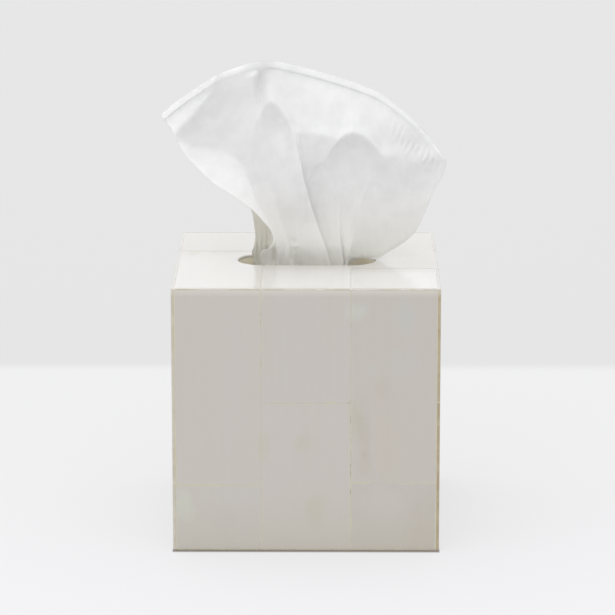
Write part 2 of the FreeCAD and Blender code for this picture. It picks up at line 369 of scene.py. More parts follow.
# %% Bone for each tile
def bone(tile, seed):
    """Polished bone for one tile, with its own clouds, streaks and tone."""
    rng = np.random.default_rng(seed)
    low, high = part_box(tile)
    side = tile.split("_")[0]
    on_top = side == "top"
    thin = min(range(3), key=lambda a: (high - low)[a])  # the axis through the tile's thickness
    grain = 1 if on_top else 2  # the columns run along Y on the top, and up the walls
    f = Finish(tile, Coat_Weight=1.0, Coat_Roughness=0.13, Coat_IOR=1.5)

    colour, place, pores = grown(f, grain, rng)
    colour = stained_and_shaded(f, colour, side, grain, low, high)
    colour = toned(f, colour, tile, rng)
    # painted shade: each wall is painted darker towards its foot
    if not on_top:
        low_painted_shade = f.range(f.axes(f.place)[2], 0, PAINTED_SHADE_HEIGHT, 0.38, 0)
        colour = f.mix(low_painted_shade, colour, srgb(183, 176, 158))
    colour = soaked(f, colour, (grain, 3 - thin - grain), low, high, SOAKED_TOP if on_top else SOAKED)
    faces_up = f.range(f.axes(f.normal)[2], 0.87, 0.995)
    # painted light: what faces up is painted paler, as lit from above
    colour = f.mix(faces_up, colour, painted_top_light(f, colour, tile, low, high) if on_top else UPTURNED_PAINTED_LIGHT)
    if side in SAWN_ENDS:
        colour = sawn(f, colour, side)
    # painted shade under the arris of the walls' upper tiles
    if not on_top and tile.endswith("upper"):
        colour = shaded_under_arris(f, colour, faces_up)

    f.colour(colour)
    f.gloss(f.range(f.noise(place, 90), 0.3, 0.7, 0.30, 0.42))
    f.relief(f.noise(f.place, 55, detail=1), 0.1 * MM)
    f.relief(pores, 0.012 * MM)
    return f.material


for index, tile in enumerate(tiles):
    cover(tile, bone(tile, seed=100 + index))
print(len(tiles), "tiles finished in bone")

# %% [markdown]
# ## Resin joints
# The joints are filled with a pale resin that was rubbed flush and then yellowed. It is nearly the bone's
# own tone along some stretches, yellow along others, olive where dirt got in beside it, and chipped out to
# a dark hairline in a few places. Where it faces up, on the top, it is painted paler, as painted light
# from above, like the top's tiles.
#
# One recipe serves all five faces, moved along for each so that they don't match. Only the front's cracks
# are given one by one, as ovals in which a fine noise breaks the resin up.

# %% Resin
# Where the front's joints have cracked: (x, z, half width, half height) in mm.
CRACKS = [(-22, 120, 2, 3), (22, 114, 2, 3), (22, 77, 2, 1.6), (22, 68, 2, 2.4), (22, 41, 2, 5),
          (22, 31, 3, 1.5)]


def resin(number, side):
    """Pale resin for one face's joints, with the dirt and cracks of that face."""
    f = Finish(f"resin_{side}", Coat_Weight=0.6, Coat_Roughness=0.13)
    shift = (0.37 * number, 0.11 * number, 0.23 * number)
    broad = f.noise(f.stretch((1, 1, 1), shift), 30, detail=2)
    colour = f.mix(f.range(broad, 0.40, 0.62), srgb(198, 193, 183), srgb(205, 199, 173))
    dirt = f.noise(f.stretch((1, 1, 1), shift), 150, detail=3)
    colour = f.mix(f.range(dirt, 0.58, 0.78, 0, 0.45), colour, srgb(168, 160, 122))
    chips = f.noise(f.stretch((1, 1, 0.5), shift), 330, detail=2)
    colour = f.mix(f.range(chips, 0.70, 0.76, 0, 0.5), colour, srgb(120, 110, 78))
    if side == "front":
        x, _, z = f.axes(f.place)
        fine = f.range(f.noise(f.stretch((1, 1, 0.2), shift), 900, detail=2), 0.38, 0.6)
        for crack in CRACKS:
            cracked = f.math("MULTIPLY", f.range(f.oval(x, z, *crack), 0.5, 1.2, 0.5, 0), fine)
            colour = f.mix(cracked, colour, srgb(132, 120, 88))
    # painted light: where the resin faces up it is painted paler, as the top is lit from above
    painted_light_above = f.range(f.axes(f.normal)[2], 0.3, 0.8, 0, 0.95)
    f.colour(f.mix(painted_light_above, colour, srgb(208, 206, 202)))
    f.gloss(f.range(dirt, 0.4, 0.7, 0.28, 0.5))
    f.relief(f.range(chips, 0.60, 0.76, 1, 0), 0.08 * MM)
    return f.material


for number, side in enumerate(("front", "back", "left", "right", "top")):
    wear([f"{side}_joint_fill"], resin(number, side))

# %% [markdown]
# ## Fibreboard, paperboard and the pack
# The core is a dense board of pressed fibres, bare at the foot and round the slot, and browner in its
# lowest few mm. The carton is white-coated paperboard, with grey showing through.
# The pack is a pile of thin sheets, and its sides show their edges as fine lines.
#
# Little of the three is seen, so each is one noise or two, squeezed in the direction in which the real
# material is layered.

# %% Fibreboard
board = Finish("fibreboard", roughness=0.62)
specks = board.noise(board.place, 900, detail=4, roughness=0.7)
felted = board.noise(board.stretch((1, 1, 3)), 160, detail=3)
fibres = board.mix(board.range(felted, 0.35, 0.65), srgb(250, 244, 226), srgb(243, 234, 208))
fibres = board.mix(board.range(specks, 0.55, 0.75, 0, 0.4), fibres, srgb(212, 196, 162))
# browner in the lowest few mm
foot = board.range(board.axes(board.place)[2], 1.0 * MM, 3.0 * MM, 1, 0)
board.colour(board.mix(foot, fibres, srgb(246, 222, 190)))
board.gloss(board.range(specks, 0.3, 0.7, 0.5, 0.72))
board.relief(specks, 0.12 * MM)
wear(sorted(n for n in nodes if n.startswith("core_")), board.material)

# %% Paperboard
card = Finish("paperboard", roughness=0.55)
pulp = card.noise(card.place, 500, detail=4, roughness=0.65)
coated = card.mix(card.range(pulp, 0.3, 0.7), srgb(226, 226, 222), srgb(234, 233, 228))
greys = card.mix(card.range(pulp, 0.4, 0.7), srgb(176, 171, 160), srgb(152, 147, 136))
layers = card.range(card.noise(card.stretch((1, 1, 6)), 700), 0.45, 0.6, 0, 0.12)
card.colour(card.mix(layers, coated, greys))
card.gloss(card.range(pulp, 0.3, 0.7, 0.45, 0.62))
card.relief(pulp, 0.05 * MM)
wear(["carton"], card.material)

# %% The pack of tissues
pile = Finish("tissue_pack", roughness=0.9)
sheets = pile.noise(pile.stretch((1, 1, 90)), 30, detail=3)
fluff = pile.noise(pile.place, 700, detail=4)
pile.colour(pile.mix(pile.range(sheets, 0.4, 0.65, 0, 0.6), srgb(243, 243, 242), srgb(214, 214, 214)))
pile.gloss(pile.range(fluff, 0.3, 0.7, 0.85, 0.97))
pile.relief(sheets, 0.4 * MM)
pile.relief(fluff, 0.1 * MM)
wear(["tissue_stack"], pile.material)

# %% [markdown]
# ## The raised tissue: one fan, its folds given one by one
# A tissue pulled from its carton is a fan: gathered in the slot, spread at its hem. It could be simulated
# from a flat sheet, but a simulation never falls into one wanted set of folds. So the fan is laid out
# first as a flat patch between four edges, seen from the front, and then it is folded the way a paper
# folder would: each fold is a line on the patch, and the paper on one side of it is tilted, stepped or
# rounded towards the viewer or away. What one fold does is simple. What they do together looks like paper.
#
# All numbers from here to the plies are in mm. A spot is given as (x, rise), where rise is the height
# above the cover's top.

# %% Small tools for shaping
def smooth(t):
    """A step from 0 to 1 with soft ends."""
    t = np.clip(t, 0, 1)
    return t * t * (3 - 2 * t)


def soft(d, width):
    """How far d is past zero, with a rounded corner that is width wide."""
    return width * np.logaddexp(0, d / width)


def bell(d, width):
    return np.exp(-((d / width) ** 2))


def along(share, values):
    """A strength given at even steps along a course."""
    return np.interp(share, np.linspace(0, 1, len(values)), values)


def across(x, table, column=1):
    """A value given at several x, read at any x."""
    table = np.array(table, float)
    return np.interp(x, table[:, 0], table[:, column])


# %% [markdown]
# ### The flat patch
# The patch is a Coons patch: four edge curves, blended so that every row and column of the grid runs
# smoothly from edge to edge. The rows are crowded near the hem, where the paper is rolled.

# %% A curve through points
ROWS, COLUMNS = 152, 272  # points up and across one ply
HEM_ROWS = 22  # how many of the rows lie in the last few mm below the hem
HEM_STARTS, SPREAD = 0.955, 1.1
u_steps = np.linspace(0, 1, COLUMNS)
v_steps = np.concatenate([
    np.linspace(0, HEM_STARTS, ROWS - HEM_ROWS) ** SPREAD,
    np.linspace(HEM_STARTS**SPREAD, 1, HEM_ROWS + 1)[1:],
])


def curve(points, steps):
    """A smooth curve through a few points, read at the given shares of its length."""
    points = np.array(points, float)
    reach = np.concatenate([[0], np.cumsum(np.linalg.norm(np.diff(points, axis=0), axis=1))])
    fine = np.linspace(0, reach[-1], 600)
    slope = np.gradient(points, reach, axis=0)
    k = np.clip(np.searchsorted(reach, fine, side="right") - 1, 0, len(reach) - 2)
    span = (reach[k + 1] - reach[k])[:, None]
    t = ((fine - reach[k]) / span[:, 0])[:, None]
    path = (
        (2 * t**3 - 3 * t**2 + 1) * points[k]
        + (t**3 - 2 * t**2 + t) * span * slope[k]
        + (3 * t**2 - 2 * t**3) * points[k + 1]
        + (t**3 - t**2) * span * slope[k + 1]
    )
    lengths = np.concatenate([[0], np.cumsum(np.linalg.norm(np.diff(path, axis=0), axis=1))])
    return np.stack([np.interp(steps * lengths[-1], lengths, path[:, a]) for a in range(2)], 1)


print("one ply has", ROWS, "x", COLUMNS, "points")


# %% The patch between four curves
def flat_fan(neck, hem, left, right):
    """The neck and the hem run left to right; the left and right edges run from the neck to the hem."""
    fine = np.linspace(0, 1, 4 * COLUMNS)
    u, v = fine[None, :, None], v_steps[:, None, None]
    neck, hem = curve(neck, fine), curve(hem, fine)
    left, right = curve(left, v_steps), curve(right, v_steps)
    chord = (1 - u) * hem[0] + u * hem[-1]
    arch = v**2 * (hem[None] - chord)  # it fades early, to keep the neck's rows level
    rows = (1 - v) * neck[None] + v * chord + arch
    columns = (1 - u) * left[:, None] + u * right[:, None]
    bottom = (1 - u) * (1 - v) * neck[0] + u * (1 - v) * neck[-1]
    top = (1 - u) * v * hem[0] + u * v * hem[-1]
    return rows + columns - (bottom + top)


# %% [markdown]
# Each fold is a course across the patch. `beside` gives, for every grid point, how far it lies from the
# course, positive on the course's right-hand side as it is walked, and how far along it the nearest
# place is. Everything a fold does is a function of those two numbers.

# %% Distance from a fold line
def beside(spots, course):
    """Signed distance of each spot from a polyline, and the share of its length where it is nearest."""
    course = np.array(course, float)
    steps = np.diff(course, axis=0)
    lengths = np.linalg.norm(steps, axis=1)
    starts = np.concatenate([[0], np.cumsum(lengths)])
    best = np.full(spots.shape[:-1], np.inf)
    signed = np.zeros_like(best)
    share = np.zeros_like(best)
    for start, step, length, before in zip(course[:-1], steps, lengths, starts):
        away = spots - start
        t = np.clip(away @ step / length**2, 0, 1)
        gap = away - t[..., None] * step
        distance = np.linalg.norm(gap, axis=-1)
        side = step[1] * away[..., 0] - step[0] * away[..., 1]
        nearer = distance < best - 1e-9
        best = np.where(nearer, distance, best)
        signed = np.where(nearer, distance * np.where(side < 0, -1, 1), signed)
        share = np.where(nearer, (before + t * length) / starts[-1], share)
    return signed, share


# %% [markdown]
# ### The folds
# These are the folds of the raised tissue, in the order in which a hand would make them. Heights are
# towards the viewer, who stands at -Y.
#
# First come the pleats. They run up from the slot. Each stands proud on its left and is tucked under on
# its right, so most of the paper is in layers that nobody sees: this is how 21 cm of tissue passes through
# 4 cm of slot. The grid's columns follow the pleats and lie closer together in the tucks, because a tuck
# turns the paper right round within a few mm.

# %% The pleats
# A pleat: its course from the slot up, its height and the width tucked under it at even steps along the
# course, and how far its left slope reaches.
PLEATS = [
    (
        [(13, -40), (13, -10), (12.1, -1.5), (9.8, 6), (6.6, 14.5), (2.4, 27.3), (-1.7, 42.2), (-5.4, 58.2),
         (-7, 65.7), (-9, 71.5)],
        [3, 3, 3.4, 4.4, 5, 6, 6.2, 5, 3, 0],
        [14, 14, 14, 13, 12, 10, 6, 2, 0, 0],
        17,
    ),
    (
        [(17.5, -40), (18.7, -1.5), (17.1, 9.2), (15.9, 19.8), (15.4, 31.6), (14.5, 40.1), (13, 47)],
        [1.8, 1.8, 2, 1.9, 1.5, 0.8, 0],
        [11, 11, 8, 4, 1, 0, 0],
        11,
    ),
]
TUCK_BAND = 4.0  # the width of the patch that each tuck takes up
OPENS = 9  # how much wider that band is at the hem, where nothing is tucked
RUN_ON = [[(-12, 85), (-15, 112)], [(11.5, 60), (9, 112)]]  # from each pleat's end on to the hem
# Shares of the columns: at the left edge, at each side of each tuck, and at the right edge.
COLUMN_SHARES = [0, 0.29, 0.40, 0.48, 0.57, 1]


def crowd(patch):
    """Slide the columns along their rows, so that they follow the pleats and lie closer in the tucks."""
    fine = np.linspace(0, 1, patch.shape[1])
    stops = np.zeros((ROWS, 6))
    stops[:, 5] = 1
    for number, (pleated, run_on) in enumerate(zip(PLEATS, RUN_ON)):
        course = pleated[0] + run_on
        d, _ = beside(patch, course)
        for row in range(ROWS):
            opened = OPENS * smooth((patch[row, :, 1].mean() - course[-3][1]) / 30)
            sides = np.interp([-0.3, TUCK_BAND + opened], d[row], fine)
            stops[row, 2 * number + 1 : 2 * number + 3] = sides
    stops = np.maximum.accumulate(stops + np.arange(6) * 1e-4, axis=1)
    slid = []
    for row in range(ROWS):
        place = np.interp(u_steps, COLUMN_SHARES, stops[row] / stops[row, -1])
        slid.append(np.stack([np.interp(place, fine, patch[row, :, a]) for a in range(2)], 1))
    return np.stack(slid)


def pleat(spots, course, heights, unders, reach):
    """A knife pleat. Returns how far it lifts each spot, and how far it carries it sideways."""
    d, share = beside(spots, course)
    height, under = along(share, heights), along(share, unders)
    half = TUCK_BAND / 2
    back = np.where(d < half, smooth(d / half), 1 - smooth((d - half) / half)) * (d > 0) * (d < TUCK_BAND)
    deep = smooth(under / 5)  # a pleat starts as a plain step, and is tucked only further down
    carried = back * (under + half) * deep
    lies = d - carried
    slope = np.sin(np.clip(1 + lies / reach, 0, 1) * math.pi / 2)
    layer = 0.7 * smooth(d / 0.25)
    layer += 1.7 * smooth(d / (0.6 * half)) + 1.2 * smooth((d - 0.8 * half) / (0.4 * half))
    layer *= np.clip(height / 3, 0.5, 1)
    tucked = (height * np.where(lies < 0, slope, 1) - layer) * (1 - smooth((d - half) / half))
    stepped = height * (1 - smooth(d / 3.4))
    lift = np.where(d <= 0, height * slope, deep * tucked + (1 - deep) * stepped)
    ends = np.array(course[-1], float) - np.array(course[0], float)
    right = np.array([ends[1], -ends[0]]) / np.linalg.norm(ends)
    return np.where(d < TUCK_BAND, lift, 0), -carried[..., None] * right


# %% [markdown]
# The free corner on the left hangs forward as a flap below one long crease, and the left tip bends back
# over a ridge.

# %% The flap and the tip
FLAP_CREASE = [(-67, 61.5), (-58, 59), (-51, 58), (-44, 56.3), (-37.4, 54), (-33, 50), (-30, 44.5),
               (-27, 37), (-22.7, 29), (-18, 21), (-14.5, 13), (-13.5, 4), (-13, -8)]
FLAP_TOP = FLAP_CREASE[:4] + [(-37.4, 53), (-33, 49.5), (-27, 43), (-20, 34), (-13, 24)]
FLAP_SLOPE, FLAP_DEPTH = 0.64, 16
TIP_RIDGE = [(-45, 97), (-49.4, 85.5), (-53.1, 80.7), (-57.3, 75.3), (-61.5, 71.1), (-67, 65)]
TIP_SLOPE, RIDGE_HEIGHT = 0.85, 8


def hanging_flap(spots):
    """How far the flap stands forward."""
    x, rise = spots[..., 0], spots[..., 1]
    flap, _ = beside(spots, FLAP_CREASE)
    below = FLAP_SLOPE * soft(across(x, FLAP_TOP) - rise, 0.6)
    edge = 1.2 + 1.6 * smooth((42 - rise) / 16)
    hangs = 0.12 + 0.88 * smooth((rise + 4) / 32)  # near the slot the flap is drawn in
    hung = FLAP_DEPTH - soft(FLAP_DEPTH - below, 1.5)
    return hung * hangs * smooth((flap + edge) / (2 * edge))


def bent_tip(spots):
    """How far the tip and the paper before it lie back from the ridge."""
    tip, _ = beside(spots, TIP_RIDGE)
    before = 1 - np.exp(-np.clip(-tip, 0, None) / 9)
    return TIP_SLOPE * soft(tip, 0.8) + RIDGE_HEIGHT * before * np.clip(1 + tip / 60, 0, 1)


# %% [markdown]
# The middle of the fan is a pocket that leans back. Its left side is a sharp wall, except in the hem,
# which bends gently. Below the pocket's rim the paper turns under again, most of all over two pleats
# that end in rounded domes.

# %% The pocket
POCKET_SIDE = [(-22.6, 50), (-22.8, 60), (-22.6, 72), (-23.2, 78), (-24.3, 86), (-24.6, 92), (-23.6, 96),
               (-21.5, 99), (-19.5, 103), (-18.5, 108)]
# The pocket's rim, as (x, rise). Above it the paper leans back.
POCKET_RIM = [(-25, 74), (-22.8, 77.5), (-21.6, 80), (-20, 81.6), (-18.6, 81.8), (-16.5, 80.9),
              (-14.3, 78.8), (-11.2, 74.6), (-9, 71), (-6.5, 68), (-4.3, 67.2), (7.7, 65.9), (14.9, 64.4),
              (18, 64.4), (20.5, 65.6), (23.4, 66.2), (27, 65.2), (30.7, 62.6), (35.2, 58), (38.5, 53.5),
              (44, 50)]
POCKET_FLOOR = [(-30, 76), (-10, 73), (15, 69), (40, 63), (60, 60)]  # what the rim evens out to, further up
POCKET_FOOT = [(-26, 71), (-20, 69), (-12, 52)]  # the pocket starts above this line


def pocket(spots, to_hem):
    """How far the pocket's paper lies back."""
    x, rise = spots[..., 0], spots[..., 1]
    side, _ = beside(spots, POCKET_SIDE)
    wall, hem_wall = np.clip((side + 3.2) / 3.2, 0, 1) ** 2, smooth((side + 11) / 16)
    body = smooth((to_hem - 2.6) / 4)
    turn = hem_wall + (wall - hem_wall) * body
    inside = turn * smooth((rise - across(x, POCKET_FOOT)) / 9)
    beside_wall = 1.5 * np.exp(-np.abs(side) / 5) * (1 - wall) * body * smooth((rise - 62) / 18)
    rim = across(x, POCKET_RIM)
    above = rise - rim
    level = above - (across(x, POCKET_FLOOR) - rim) * smooth(above / 20)
    lean = 0.42 + 0.20 * smooth((x + 12) / 20) - 0.22 * smooth((x - 34) / 8)
    return beside_wall + (lean * soft(level, 0.7) + 0.8 * smooth((above + 1.5) / 2)) * inside


# %% Domes under the rim
# Rims at which the paper turns under, as (x, rise, how far it turns).
DOMES = [
    [(-28, 66, 0), (-22.8, 77, 1.8), (-21.6, 80, 2.6), (-18.6, 81.8, 4.2), (-16.5, 80.9, 4.8),
     (-14.3, 78.8, 4.6), (-11.2, 74.6, 4), (-9, 71, 3), (-7, 66, 1.2), (-5.4, 60, 0)],
    [(-7, 67.5, 0), (-4.3, 67.2, 1), (7.7, 65.9, 1.2), (14.9, 64.4, 0.8), (18, 63.8, 0)],
    [(6, 46, 0), (9.4, 52.6, 1.5), (13, 58, 3), (17, 62.8, 4.5), (20, 65.2, 5.5), (23.4, 66.2, 6),
     (27, 65.2, 6), (30.7, 62.6, 5.5), (35.2, 58, 4), (38.5, 53.5, 2), (42, 49, 0)],
]
SMALL_RIM = [(-1, 34, 0), (0.8, 40.4, 0.6), (3, 46.5, 0.9), (5, 49.6, 1), (7.2, 50.6, 1), (9.6, 49.5, 0.9),
             (12, 46, 0.6), (14.2, 40.4, 0.3), (15, 34, 0)]


def turned_under(spots, rim, proud, proud_reach, sunk, sunk_reach, fades):
    """A rim that stands proud, and the hollow below it that fades downwards."""
    x, rise = spots[..., 0], spots[..., 1]
    above = rise - across(x, rim)
    turned = across(x, rim, 2)
    below = np.clip(-above, 0, None)
    hollow = sunk * (1 - np.exp(-below / sunk_reach)) * np.exp(-below / fades)
    return turned * (proud * np.exp(-np.abs(above) / proud_reach) - hollow)


# %% [markdown]
# A few creases have a place of their own. The right lobe is nearly flat: a ridge runs up its left side,
# and it falls back towards its edge.

# %% Creases and the right lobe
# (x, rise, half width, half height, how far they stand out)
CREASES = [
    (50, 48, 2.2, 8, 0.9), (45, 51, 1.8, 6, -0.5), (58.5, 51.3, 5.5, 1.6, 0.5), (61, 45.5, 5, 3.5, -0.6),
    (-16.9, 2, 1.2, 6, -3.2), (-20, 1.5, 1.8, 4.5, -1), (-13.6, 5, 1.6, 7, 0.8),
    (-5.9, 7, 1.8, 0.8, 0.6), (-7.2, 9.6, 1.2, 1.2, -0.6), (-6.4, 2.4, 0.6, 3.2, 0.8),
    (-8, 1.8, 0.7, 3.2, -0.6), (-10.2, 0.6, 0.6, 3, 0.7),
]
RIGHT_RIDGE = [(19.5, -8), (20.3, -0.5), (21.9, 6), (24, 14.5), (25.5, 23), (27.7, 31.6), (31.8, 40.1),
               (34.5, 48.6), (36, 57)]
RIDGE_HEIGHTS = [2.5, 2.8, 3, 3, 2.6, 2, 1, 0]


def creased(spots):
    x, rise = spots[..., 0], spots[..., 1]
    forward = np.zeros(x.shape)
    for at_x, at_rise, half_x, half_rise, out in CREASES:
        forward += out * bell(x - at_x, half_x) * bell(rise - at_rise, half_rise)
    return forward


def right_lobe(spots):
    ridge, share = beside(spots, RIGHT_RIDGE)
    crest = along(share, RIDGE_HEIGHTS) * np.exp(-np.abs(ridge) / np.where(ridge < 0, 2.4, 8))
    return crest - 6 * smooth((spots[..., 0] - 38) / 36)


# %% Fold the fan
def fold(spots, to_hem, flap_falls):
    """Fold the patch: returns where each spot ends up, and how far it stands towards the viewer."""
    forward = np.zeros(spots.shape[:-1])
    moved = spots.copy()
    for course, heights, unders, reach in PLEATS:
        up, aside = pleat(spots, course, heights, unders, reach)
        forward += up
        moved += aside
    x, rise = moved[..., 0], moved[..., 1]
    forward += 2.5 + 3.0 * smooth((rise - 25) / 40)  # the fan leans forward as it rises
    in_neck = 4 * smooth((22 - rise) / 18) - 1.0 * smooth((9 - rise) / 12)
    forward += in_neck * smooth((30 - x) / 10)
    if flap_falls:
        forward += hanging_flap(moved)
    forward -= bent_tip(moved)
    forward -= pocket(moved, to_hem)
    for dome in DOMES:
        forward += turned_under(moved, dome, 0.45, 6, 1.35, 8.5, 30)
    forward += turned_under(moved, SMALL_RIM, 0.4, 3, 1.3, 2.5, 16)
    forward += creased(moved)
    forward += right_lobe(moved)
    return moved, forward


# %% [markdown]
# Last come the small creases that cover all paper: noise, partly ridged, which is finer and stronger
# where the paper is gathered in the slot, and where it was pinched at the right of the hem.

# %% Crumples
CRIMPS = [(68, 49), (61.1, 52.6), (56.6, 54.8), (53.4, 57), (48.3, 61), (45.3, 64.6), (42, 69)]
SEED = 1.7


def crumple(spots, to_hem):
    """How far each spot stands out in its small creases."""
    x, rise = spots[..., 0], spots[..., 1]
    relief = np.zeros(x.shape)
    off, _ = beside(spots, CRIMPS)
    crimped = bell(off, 2.6) + 0.25 * bell(off - 4, 3)
    crimped *= smooth((to_hem - 3) / 2) * smooth((x - 42) / 3)
    gathered = np.exp(-np.clip(rise + 2, 0, None) / 7)
    for index in np.ndindex(x.shape):
        a, b = x[index], rise[index]
        broad = noise.noise((a / 20 + SEED, b / 24, SEED))
        ridged = 1 - abs(noise.noise((a / 9 + 3, b / 12 + SEED, 2 * SEED))) * 2.2
        small = noise.noise((a / 2.3, b / 4.2, SEED))
        uneven = noise.noise((a / 3.4, b / 4, SEED))
        crimp = (0.8 + 1.6 * uneven) * math.sin(2.1 * (a - 0.32 * b) + 5 * broad + 2 * uneven)
        upright = 0.5 * noise.noise((a / 3.0, b / 16, SEED + 5))
        upright += 0.25 * noise.noise((a / 1.1, b / 9, SEED + 8))
        relief[index] = 0.7 * broad + 0.22 * ridged + 0.07 * small
        relief[index] += 0.45 * crimp * crimped[index] + upright * gathered[index]
    return relief


# %% [markdown]
# ### The hem and the edges
# The hem is rolled over, with a groove below it, except for a stretch left of the middle, where it curls
# back. The right edge curls away from the viewer, and the left edge forward where it enters the slot.

# %% Edges
# Along the hem: (x, how far the roll stands out, how wide it is).
HEM_ROLL = [(-75, 1.1, 2.5), (-50, 1, 2.5), (-43, 0.3, 2.5), (-28, 0.2, 2.5), (-20, 1, 2.7),
            (25, 0.9, 2.6), (45, 0.9, 2.1), (60, 0.9, 1.6), (72, 0.8, 0.9)]
CURLS_BACK = [(-50, 0), (-42, 1), (-27, 1), (-20, 0)]  # (x, how much)
LEANS_OVER = [(-50, 5), (-30, 3.3)]  # (x, how far below the hem the paper starts to lean forward)
LEAN, CURL = 0.44, 1.3


def hem_and_edges(patch, to_hem, left, right, front):
    """How far the hem and the edges stand forward. Only the front ply's hem is rolled."""
    x, rise = patch[..., 0], patch[..., 1]
    forward = -0.5 * np.clip(1 - to_hem / 2.6, 0, 1) ** 1.5
    curls = across(x, CURLS_BACK)
    forward += LEAN * (1 - 0.8 * curls) * np.clip(across(x, LEANS_OVER) - to_hem, 0, None)
    forward -= CURL * curls * np.clip(1 - to_hem / 3.4, 0, 1) ** 2
    from_right = np.abs(beside(patch, curve(right, v_steps[::6]))[0])
    forward -= 0.8 * np.exp(-from_right / 1.1)
    if front:
        forward += across(x, HEM_ROLL) * (1 - smooth((to_hem - across(x, HEM_ROLL, 2)) / 0.6))
        from_left = np.abs(beside(patch, curve(left, v_steps[::2]))[0])
        by_the_slot = smooth((11 - rise) / 4) * smooth((rise + 4) / 4)
        forward += CURL * (1 - smooth(from_left / 1.5)) * by_the_slot
    return forward


# %% [markdown]
# ### Two plies
# A tissue is two plies that part at the edges. The front ply carries the flap. The back ply follows the
# same folds a little more than a millimetre behind, stands a little above it at the hem, and shows alone
# at the left of the slot. Both run down through the slot and the carton's opening to the top of the pack,
# and are gathered deeper the further down they go.
#
# The courses above are drawn as they are seen against the plane Y = 0. A spot that stands in front of
# that plane or behind it is slid along the line of sight, so that it is still seen in the same place.

# %% Through the slot
SLOT_ROOM = 9.6  # how far in front of the middle the paper may lie inside the slot
GATHERS, GATHER_DEPTH = 0.92, 5.5  # waves for each 2 pi mm across the gathered neck, and their depth
BEHIND = 1.3  # from the front ply to the back ply
eye = np.array(camera.location) / MM - (0, 0, top_face / MM)


def through_slot(patch, x, rise, forward):
    """Hold the paper back behind the slot's lip, and gather it below."""
    room = SLOT_ROOM + 1.2 * np.clip(rise, 0, None)
    forward = room - soft(room + 2 - forward, 0.8)
    forward *= 1 - 0.5 * smooth((-3 - rise) / 9)
    waves = np.sin(GATHERS * patch[..., 0] + SEED)
    return forward + GATHER_DEPTH * smooth((-5 - patch[..., 1]) / 10) * waves


def alone(x, rise):
    """What shows of the back ply beside the slot stands back, in small upright folds."""
    there = smooth((-14 - x) / 6) * smooth((44 - rise) / 14) * smooth((rise + 14) / 10)
    folds = 0.3 * np.sin(2.6 * x + 0.05 * rise) * smooth((18 - rise) / 10)
    return there * (folds - 7 - 5 * np.clip((30 - rise) / 30, 0, 1))


def in_sight(x, rise, forward):
    """The points of the grid in metres, each slid along the line of sight by as much as it stands out."""
    slide = forward / -eye[1] * smooth((rise + 8) / 8)
    x = x + (eye[0] - x) * slide
    z = rise + (eye[2] - rise) * slide
    points = np.stack([x, -forward, z], -1).reshape(-1, 3) * MM
    points[:, 2] += top_face
    return points


# %% Make a ply
THICKNESS = 0.16 * MM


def paper_sheet(name, points):
    """The grid as a smooth mesh, given its thickness by a Solidify modifier."""
    mesh = bpy.data.meshes.new(name)
    i = np.arange(ROWS - 1)[:, None] * COLUMNS + np.arange(COLUMNS - 1)[None]
    faces = np.stack([i, i + 1, i + COLUMNS + 1, i + COLUMNS], -1).reshape(-1, 4)
    mesh.from_pydata(points.tolist(), [], faces.tolist())
    mesh.shade_smooth()
    piece = bpy.data.objects.new(name, mesh)
    bpy.context.scene.collection.objects.link(piece)
    thick = piece.modifiers.new("paper", "SOLIDIFY")
    thick.thickness = THICKNESS
    thick.offset = 0
    area = sum(face.area for face in mesh.polygons)
    size = points.max(0) - points.min(0)
    print(name, "spans", [round(s / MM, 1) for s in size], "mm; area", round(area * 1e4, 1), "cm2")
    return piece


def ply(name, neck, hem, left, right, front):
    """One ply of tissue as a grid on a Coons patch, folded and crumpled."""
    patch = crowd(flat_fan(neck, hem, left, right))
    to_hem = np.abs(beside(patch, curve(hem, u_steps[::6]))[0])
    moved, forward = fold(patch, to_hem, flap_falls=front)
    forward += crumple(patch, to_hem) + hem_and_edges(patch, to_hem, left, right, front)
    x, rise = moved[..., 0], moved[..., 1]
    forward = through_slot(patch, x, rise, forward)
    if not front:
        forward += alone(x, rise) - BEHIND
    inside = forward[rise < 0]
    print("in the slot the", name, "spans y", [round(v, 1) for v in (-inside.max(), -inside.min())])
    return paper_sheet(name, in_sight(x, rise, forward))


# %% Both plies
pack_rise = (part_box("tissue_stack")[1].z - top_face) / MM + 0.8  # the neck ends just above the pack
HEM = [(-74.1, 75), (-65.7, 82), (-56.2, 88.5), (-46.8, 94.7), (-37.4, 98.5), (-26.9, 101.7),
       (-18.5, 102.7), (-5.9, 100.3), (9.8, 96.1), (25.5, 91), (36, 86.6), (46.5, 79.2), (56.9, 70),
       (70.9, 52)]
HEM_BELOW = 0.6  # the front ply's hem is a little lower

front_ply = ply(
    "tissue_front_ply",
    neck=[(-20, pack_rise), (0, pack_rise), (19.5, pack_rise)],
    hem=[(x, rise - HEM_BELOW) for x, rise in HEM],
    left=[(-20, pack_rise), (-23.4, -10), (-23.7, -1.6), (-24, 1.8), (-22.8, 4.6), (-20.2, 5.4),
          (-18, 7.3), (-17, 11), (-18.4, 14.9), (-22.4, 19.9), (-26.3, 24.4), (-29, 26.8), (-37.4, 33),
          (-44.7, 37.6), (-51, 42.6), (-56.2, 47.9), (-61, 52.9), (-65.2, 59.5), (-68.5, 67),
          (-74.1, 74.4)],
    right=[(19.5, pack_rise), (21.5, -12), (22.2, -3), (22.8, 0.2), (25, 0.7), (30, 0.6), (35.6, 0.3),
           (37, 1), (40, 3), (46.5, 7), (54.9, 14), (59, 22), (64.6, 35.8), (68, 42), (69.8, 46),
           (70.9, 51.4)],
    front=True,
)
